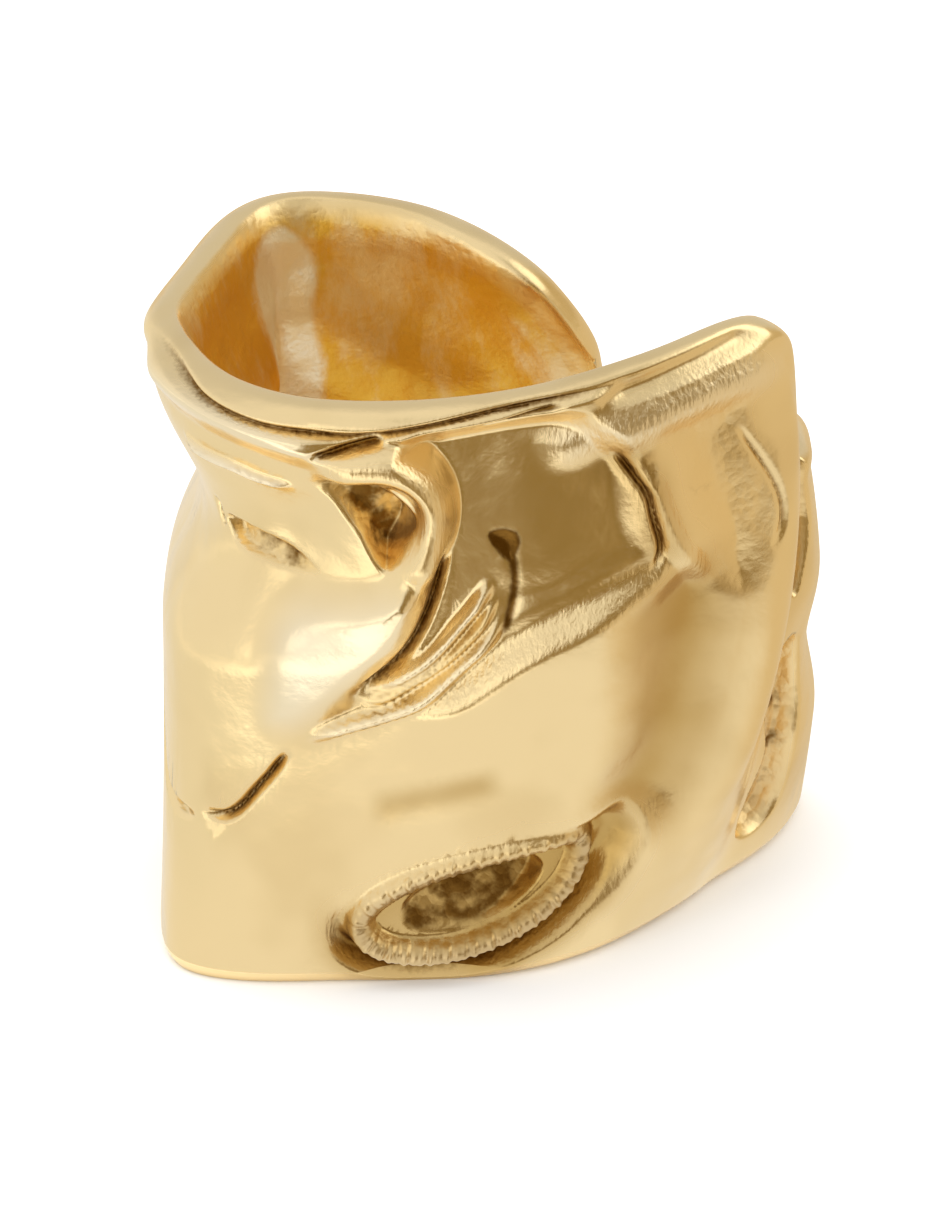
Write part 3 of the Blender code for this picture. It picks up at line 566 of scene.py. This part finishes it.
def nearest_on_path(points, knots, closed):
    """Distance from each point to the smooth path, positive on its left, the place along it and its line."""
    if closed:
        knots = np.vstack((knots[-2:], knots, knots[:3]))
    run = np.concatenate(((0.0,), np.cumsum(np.linalg.norm(np.diff(knots, axis=0), axis=1))))
    first, last = (run[2], run[-3]) if closed else (run[0], run[-1])
    pieces = max(FEWEST_PIECES, int((last - first) / PATH_STEP))
    line = spline(run, knots, np.linspace(first, last, pieces + 1))
    nearest = np.full(len(points), np.inf)
    side = np.zeros(len(points))
    place = np.zeros(len(points))
    for i, (start, end) in enumerate(zip(line[:-1], line[1:])):
        step = end - start
        t = np.clip((points - start) @ step / (step @ step), 0, 1)
        away = points - start - t[:, None] * step
        distance = np.linalg.norm(away, axis=1)
        closer = distance < nearest
        nearest[closer] = distance[closer]
        side[closer] = (step[0] * away[:, 1] - step[1] * away[:, 0])[closer]
        place[closer] = (i + t[closer]) / pieces
    return np.where(side < 0, -nearest, nearest), place, line


def enclosed(points, line):
    """Which points lie inside the closed line."""
    odd = np.zeros(len(points), bool)
    for (ax, ay), (bx, by) in zip(line[:-1], line[1:]):
        if ay == by:
            continue
        spans = (ay > points[:, 1]) != (by > points[:, 1])
        odd ^= spans & (points[:, 0] < (bx - ax) * (points[:, 1] - ay) / (by - ay) + ax)
    return odd


def close_to(points, knots, margin):
    """Which points lie in the path's box or within the margin of it."""
    return np.all((points > knots.min(0) - margin) & (points < knots.max(0) + margin), axis=1)


def faded(shape, place, closed):
    """An open form's shape, faded out at both ends of its path."""
    return shape if closed else shape * ease(place / END_FADE) * ease((1 - place) / END_FADE)


def relief(band, run, height):
    """How far the outer and the inner face rise at each point of the laid-out band."""
    points = np.column_stack((run, height))
    outer = np.zeros(len(points))
    inner = np.zeros(len(points))
    for form, _name, reach, rise, through, path in RELIEF:
        reach *= WALL
        knots = band.run_and_height(path)
        near = close_to(points, knots, reach * (STEP_FALL if form == "step" else 1) + WALL / 2)
        closed = form in CLOSED_FORMS
        signed, place, line = nearest_on_path(points[near], knots, closed)
        x = np.abs(signed) / reach
        if form in FILLED_FORMS:
            shape = ease(np.where(enclosed(points[near], line), x, 0))
            if form == "slope":
                towards = knots[0] - knots.mean(0)
                across = knots @ towards
                shape = shape * np.clip((points[near] @ towards - across.min()) / np.ptp(across), 0, 1)
        elif form == "step":
            rising = ease(0.5 + signed / reach / 2)
            toe = STEP_TOE_DEPTH * (1 - rising) * (1 - ease(x / STEP_TOE))
            shape = rising * (1 - ease(x / STEP_FALL)) - toe
        else:
            shape = PROFILES[form](x)
        if form == "ring":
            pinch = sum(1 + np.cos(2 * math.pi * count * place) for count in BEADS) / (2 * len(BEADS))
            shape = shape * (1 - BEAD_DEPTH * pinch)
        shape = faded(shape, place, closed)
        outer[near] += rise * WALL * shape
        inner[near] += rise * WALL * shape * through
    return outer, inner


def finish_masks(band, run, height):
    """How strong each kind of finish is, painted shade and painted highlights among them, at each point of the
    band, laid out by run and height.
    """
    points = np.column_stack((run, height))
    masks = {name: np.zeros(len(points)) for name in MASKS}
    forms = {row[1]: (row[0], row[5]) for row in RELIEF}
    rows = [(mask, forms[name], reach, strength) for mask, name, reach, strength in FINISH]
    # The painted reflection down the inside
    rows.append(("inner_reflection", ("swell", INNER_REFLECTION_PATH), INNER_REFLECTION_REACH, 1))
    for mask, (form, path), reach, strength in rows:
        closed = form in CLOSED_FORMS
        reach *= WALL
        knots = band.run_and_height(path)
        near = close_to(points, knots, reach + WALL / 2)
        signed, place, line = nearest_on_path(points[near], knots, closed)
        shape = strength * swell(np.abs(signed) / reach)
        if form in FILLED_FORMS and mask != "fuzz":
            shape = np.where(enclosed(points[near], line), strength * ease(np.abs(signed) / reach), 0)
        masks[mask][near] = np.maximum(masks[mask][near], faded(shape, place, closed))
    return masks


def lip(from_rim):
    """The rise of the rolled lip at each distance from the rim."""
    return LIP_RISE * WALL * swell(np.abs(from_rim - LIP_DEPTH / 2) / LIP_DEPTH)


def blank():
    """Two flat sheets of one grid, the outer at z 1 and the inner at 0, sewn together round their outline."""
    sheets = bmesh.new()
    for side in (1, 0):
        place = Matrix.Translation((0.5, 0.5, side))
        bmesh.ops.create_grid(sheets, x_segments=COLUMNS, y_segments=ROWS, size=0.5, matrix=place)
    for vertex in sheets.verts:
        on_outline = max(abs(vertex.co.x - 0.5), abs(vertex.co.y - 0.5)) > 0.5 - SEAM / COLUMNS
        if on_outline:
            vertex.co.z = 0.5
    bmesh.ops.remove_doubles(sheets, verts=sheets.verts, dist=SEAM / COLUMNS)
    mesh = bpy.data.meshes.new("cuff_band")
    sheets.to_mesh(mesh)
    sheets.free()
    return mesh


def column_runs(band, p):
    """Runs of the columns at even shares p, closer together at the places in CROWDING."""
    run = np.linspace(0, band.length, LINE_POINTS)
    along = (band.corner_run - run) / band.front_run
    density = np.ones(len(run))
    for _place, middle, half_width, times in CROWDING:
        density += (times - 1) * swell((along - middle) / half_width * np.sign(along - middle))
    count = np.concatenate(((0.0,), np.cumsum((density[1:] + density[:-1]) / 2)))
    return np.interp(p, count / count[-1], run)


def form_band(mesh):
    """Bend the flat blank into the crumpled band."""
    flat = np.empty(len(mesh.vertices) * 3, np.float32)
    mesh.vertices.foreach_get("co", flat)
    flat = np.clip(flat.reshape(-1, 3).astype(float), 0, 1)
    is_outer = flat[:, 2] > 0.5
    places, sheet_place = np.unique(np.round(flat[:, :2], 6), axis=0, return_inverse=True)
    sheet_place = sheet_place.ravel()

    band = Band()
    run = column_runs(band, places[:, 0])
    v = places[:, 1] - ROW_CROWDING * np.sin(2 * math.pi * places[:, 1]) / (2 * math.pi)
    height = band.height(run, v)
    points = band.points(run, height)
    normals = band.normals(run, height)
    outer, inner = relief(band, run, height)
    masks = finish_masks(band, run, height)
    from_edge = band.from_outline(run, height)
    from_rim = np.where(v > 0.5, from_edge, WALL)
    outer += lip(from_rim)
    inner += RIM_THINNING * WALL * (1 - ease(from_rim / WALL))
    points, normals, outer, inner, from_edge = (
        values[sheet_place] for values in (points, normals, outer, inner, from_edge)
    )

    # Both faces meet in a half circle round the whole outline.
    middle = -WALL / 2 + (outer + inner) / 2 * ease(from_edge / WALL)
    face = np.where(is_outer, outer, inner - WALL)
    near = np.clip(2 * from_edge / WALL, 0, 1)
    depth = middle + np.sqrt(1 - (1 - near) ** 2) * (face - middle)
    formed = points + normals * depth[:, None]

    lowest, highest = formed.min(0), formed.max(0)
    formed -= ((lowest[0] + highest[0]) / 2, (lowest[1] + highest[1]) / 2, FOOT_TRIM)
    mesh.vertices.foreach_set("co", formed.ravel())
    inside = np.where(is_outer, 0, near)
    amounts = {name: mask[sheet_place] * is_outer for name, mask in masks.items()}
    on_back = ease(1 + (run - band.corner_run) / CAST_START)[sheet_place]
    amounts["cast"] = np.maximum(amounts["cast"], CAST_INSIDE * inside * on_back)
    amounts["inside"] = inside
    # The painted reflection shows on the inside only.
    amounts["inner_reflection"] = masks["inner_reflection"][sheet_place] * inside
    for name, amount in amounts.items():
        mesh.attributes.new(name, "FLOAT", "POINT").data.foreach_set("value", amount.astype(np.float32))

    surface = bmesh.new()
    surface.from_mesh(mesh)
    bmesh.ops.recalc_face_normals(surface, faces=surface.faces)
    surface.to_mesh(mesh)
    surface.free()


class Wire:
    """An output of a node. Arithmetic on it adds Math nodes."""

    def __init__(self, nodes, socket):
        self.nodes = nodes
        self.socket = socket

    def math(self, operation, *values):
        return self.nodes.make("ShaderNodeMath", {"operation": operation}, dict(enumerate(values)))

    def __add__(self, other):
        return self.math("ADD", self, other)

    def __radd__(self, other):
        return self.math("ADD", other, self)

    def __sub__(self, other):
        return self.math("SUBTRACT", self, other)

    def __rsub__(self, other):
        return self.math("SUBTRACT", other, self)

    def __mul__(self, other):
        return self.math("MULTIPLY", self, other)

    def __rmul__(self, other):
        return self.math("MULTIPLY", other, self)


class Nodes:
    """The nodes of one material or world."""

    def __init__(self, owner):
        owner.use_nodes = True
        self.tree = owner.node_tree
        self.tree.nodes.clear()

    def make(self, kind, settings=None, values=None, output=0):
        """A node of a kind, with its settings, then its sockets' values or links. Gives one output."""
        node = self.tree.nodes.new(kind)
        for name, setting in (settings or {}).items():
            setattr(node, name, setting)
        for name, value in (values or {}).items():
            if isinstance(value, Wire):
                self.tree.links.new(value.socket, node.inputs[name])
            else:
                node.inputs[name].default_value = value
        return Wire(self, node.outputs[output]) if node.outputs else None

    def mix(self, share, first, second):
        """Two colours mixed by a share."""
        return self.make("ShaderNodeMix", {"data_type": "RGBA"}, {0: share, 6: first, 7: second}, 2)

    def between(self, value, low, high):
        """A share that eases from 0 at the low value to 1 at the high one."""
        settings = {"interpolation_type": "SMOOTHSTEP"}
        return self.make("ShaderNodeMapRange", settings, {"Value": value, "From Min": low, "From Max": high})

    def ahead(self, place, towards):
        """How far a place lies in a direction."""
        settings = {"operation": "DOT_PRODUCT"}
        return self.make("ShaderNodeVectorMath", settings, {0: place, 1: towards}, "Value")

    def noise(self, place, scale, detail, roughness, upwards):
        """A noise pattern, drawn out upwards where that is under 1."""
        drawn = self.make("ShaderNodeVectorMath", {"operation": "MULTIPLY"}, {0: place, 1: (1, 1, upwards)})
        values = {"Vector": drawn, "Scale": scale, "Detail": detail, "Roughness": roughness}
        return self.make("ShaderNodeTexNoise", values=values)


def cast_gold():
    """Polished cast gold: uneven and faintly grained, rough or brushed where its masks say, with painted shade
    and painted highlights where they say.
    """
    material = bpy.data.materials.new("cast_gold")
    nodes = Nodes(material)
    place = nodes.make("ShaderNodeTexCoord", output="Object")
    crease_shade, shade, highlight, cast, fuzz, inner_reflection, inside = (
        nodes.make("ShaderNodeAttribute", {"attribute_name": name}, output="Fac")
        for name in (*MASKS, "inside")
    )
    swirl, blotch, grain, hair, stain = (nodes.noise(place, *pattern[1:]) for pattern in PATTERNS)
    pebbled = {"Vector": place, "Scale": PEBBLE_SCALE}
    pebble = nodes.make("ShaderNodeTexVoronoi", values=pebbled, output="Distance")

    stained = nodes.between(stain, *STAINED)
    cloud = nodes.between(swirl, *CLOUDED)
    # Painted reflection down the inside, broken up by stains
    reflected = nodes.between(inner_reflection + stain * REFLECTION_STAINS, *REFLECTION_SHOWN)
    ragged = (grain - PATTERN_MIDDLE) * EDGE_GRAIN + (hair - PATTERN_MIDDLE) * EDGE_HAIR * fuzz
    spots = (blotch - PATTERN_MIDDLE) * cast * (SPOTS - FEWER_INSIDE * inside)
    # Painted dark shade at the bottom of creases, ragged at its edge, together with the dark spots of cast
    # gold
    line = nodes.between(crease_shade + ragged + spots, *CREASED)
    colour = nodes.mix(cast * stained * (AMBER_SHARE + AMBER_INSIDE * inside), (*POLISHED, 1), (*AMBER, 1))
    # Painted softer shade in hollows, and clouds in the polish
    colour = nodes.mix(shade * (SHADE_EVENNESS + swirl) + cloud * CLOUD_SHARE, colour, (*SHADED_GOLD, 1))
    # Painted highlights on raised places, and the painted reflection streaked down the inside
    colour = nodes.mix(reflected * inside + highlight, colour, (*PAINTED_HIGHLIGHT, 1))
    colour = nodes.mix(line, colour, (*SHADE_AND_SPOT_GOLD, 1))

    roughness = POLISH_ROUGHNESS + SWIRL_ROUGHNESS * swirl + cast * CAST_ROUGHNESS + fuzz * FUZZ_ROUGHNESS
    height = (
        swirl * SWIRL_HEIGHT
        + blotch * (BLOTCH_HEIGHT + cast * CAST_BLOTCH_HEIGHT)
        + grain * (GRAIN_HEIGHT + cast * CAST_GRAIN_HEIGHT)
        + hair * fuzz * HAIR_HEIGHT
        - pebble * cast * (1 - inside) * PEBBLE_DEPTH
    )
    bump = nodes.make("ShaderNodeBump", values={"Strength": 1.0, "Distance": BUMP_STEP, "Height": height})
    shader = nodes.make(
        "ShaderNodeBsdfPrincipled",
        values={"Base Color": colour, "Metallic": 1.0, "Roughness": roughness, "Normal": bump},
    )
    nodes.make("ShaderNodeOutputMaterial", values={"Surface": shader})
    return material


def white_paper():
    material = bpy.data.materials.new("white_paper")
    nodes = Nodes(material)
    paper = nodes.make("ShaderNodeBsdfDiffuse", values={"Color": (PAPER_WHITE, PAPER_WHITE, PAPER_WHITE, 1)})
    nodes.make("ShaderNodeOutputMaterial", values={"Surface": paper})
    return material


def staged(name, mesh, material):
    """An object of the studio, in place."""
    mesh.materials.append(material)
    made = bpy.data.objects.new(name, mesh)
    bpy.context.scene.collection.objects.link(made)
    return made


def sheet(name, size, height):
    """A flat square about the middle."""
    mesh = bpy.data.meshes.new(name)
    made = bmesh.new()
    place = Matrix.Translation((0, 0, height))
    bmesh.ops.create_grid(made, x_segments=1, y_segments=1, size=size / 2, matrix=place)
    made.to_mesh(mesh)
    made.free()
    return mesh


def direction(azimuth, elevation=0.0):
    """The direction at an azimuth and an elevation in degrees."""
    turn, rise = math.radians(azimuth), math.radians(elevation)
    return math.sin(turn) * math.cos(rise), -math.cos(turn) * math.cos(rise), math.sin(rise)


def room_light():
    """Soft patches of light and shade on a white room, by direction from its middle."""
    material = bpy.data.materials.new("room_light")
    nodes = Nodes(material)
    place = nodes.make("ShaderNodeTexCoord", output="Object")
    towards = nodes.make("ShaderNodeVectorMath", {"operation": "NORMALIZE"}, {0: place})
    colour = (*ROOM_LIGHT, 1)
    for _name, azimuth, elevation, inner, outer, shade in ROOM_PATCHES:
        near = nodes.ahead(towards, direction(azimuth, elevation))
        share = nodes.between(near, math.cos(math.radians(outer)), math.cos(math.radians(inner)))
        colour = nodes.mix(share, colour, (*shade, 1))
    light = nodes.make("ShaderNodeEmission", values={"Color": colour})
    nodes.make("ShaderNodeOutputMaterial", values={"Surface": light})
    return material


def floor_light():
    """White near the cuff, with lighter and darker parts further out."""
    material = bpy.data.materials.new("floor_light")
    nodes = Nodes(material)
    place = nodes.make("ShaderNodeTexCoord", output="Object")
    colour = (*FLOOR_LIGHT, 1)
    for _name, azimuth, near, far, shade in FLOOR_SHADES:
        share = nodes.between(nodes.ahead(place, direction(azimuth)), near, far)
        colour = nodes.mix(share, colour, (*shade, 1))
    light = nodes.make("ShaderNodeEmission", values={"Color": colour})
    nodes.make("ShaderNodeOutputMaterial", values={"Surface": light})
    return material


def mirrored_only(made):
    """The gold mirrors it, the camera doesn't see it, and it throws no light or shadow on the paper."""
    made.visible_camera = False
    made.visible_diffuse = False
    made.visible_shadow = False
    made.visible_transmission = False
    made.visible_volume_scatter = False


def studio():
    """White paper in an even white light, and the room that the gold mirrors."""
    staged("paper", sheet("paper", PAPER_SIZE, 0), white_paper())
    mirrored_only(staged("floor_glow", sheet("floor_glow", FLOOR_SIZE, FLOOR_RISE), floor_light()))
    ball = bpy.data.meshes.new("room")
    made = bmesh.new()
    bmesh.ops.create_uvsphere(made, u_segments=64, v_segments=32, radius=ROOM_RADIUS)
    made.to_mesh(ball)
    made.free()
    mirrored_only(staged("room", ball, room_light()))
    world = bpy.data.worlds.new("white_room")
    bpy.context.scene.world = world
    nodes = Nodes(world)
    light = nodes.make("ShaderNodeBackground", values={"Color": (1, 1, 1, 1), "Strength": WORLD_STRENGTH})
    nodes.make("ShaderNodeOutputWorld", values={"Surface": light})
    for name, size, energy, place in LAMPS:
        lamp = bpy.data.lights.new(name, "AREA")
        lamp.size = size
        lamp.energy = energy
        made = bpy.data.objects.new(name, lamp)
        made.location = place
        made.rotation_euler = (-Vector(place)).to_track_quat("-Z", "Y").to_euler()
        made.visible_camera = False
        made.visible_glossy = False
        bpy.context.scene.collection.objects.link(made)
    bpy.context.scene.view_settings.view_transform = "Standard"


def camera():
    """A long lens that looks down at the cuff as the photograph does."""
    lens = bpy.data.cameras.new("camera")
    lens.lens = LENS
    lens.sensor_width = SENSOR
    lens.clip_start = 0.01
    made = bpy.data.objects.new("camera", lens)
    tilt = math.radians(CAMERA_RISE)
    distance = VIEW_HEIGHT * LENS / SENSOR
    away = Vector((0, -math.cos(tilt), math.sin(tilt)))
    made.location = Vector(VIEW_CENTRE) + away * distance
    made.rotation_euler = (math.pi / 2 - tilt, 0, 0)
    bpy.context.scene.collection.objects.link(made)
    bpy.context.scene.camera = made


def thin_out(made):
    """Leave the wanted number of triangles, out of four for each cell of the blank."""
    thin = made.modifiers.new("thin_out", "DECIMATE")
    thin.ratio = TRIANGLES / (4 * COLUMNS * ROWS)
    thin.use_collapse_triangulate = True
    shown = made.evaluated_get(bpy.context.evaluated_depsgraph_get())
    finished = bpy.data.meshes.new_from_object(shown)
    made.modifiers.clear()
    made.data = finished
    finished.name = made.name


def settle(mesh):
    """File the foot flat and keep the mesh in the model's own box."""
    places = np.empty(len(mesh.vertices) * 3, np.float32)
    mesh.vertices.foreach_get("co", places)
    places = places.reshape(-1, 3)
    places[:, 2] = np.maximum(places[:, 2], 0)
    low, high = np.array([list(corner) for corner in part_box("cuff_band")])
    np.clip(places, low, high, out=places)
    mesh.vertices.foreach_set("co", places.ravel())
    mesh.update()


def cuff():
    """The band at the fine scale."""
    mesh = blank()
    form_band(mesh)
    mesh.shade_smooth()
    mesh.materials.append(cast_gold())
    made = bpy.data.objects.new("crumpled_band", mesh)
    bpy.context.scene.collection.objects.link(made)
    thin_out(made)
    settle(made.data)
    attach(made, "root")
    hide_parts("cuff_band")


cuff()
studio()
camera()
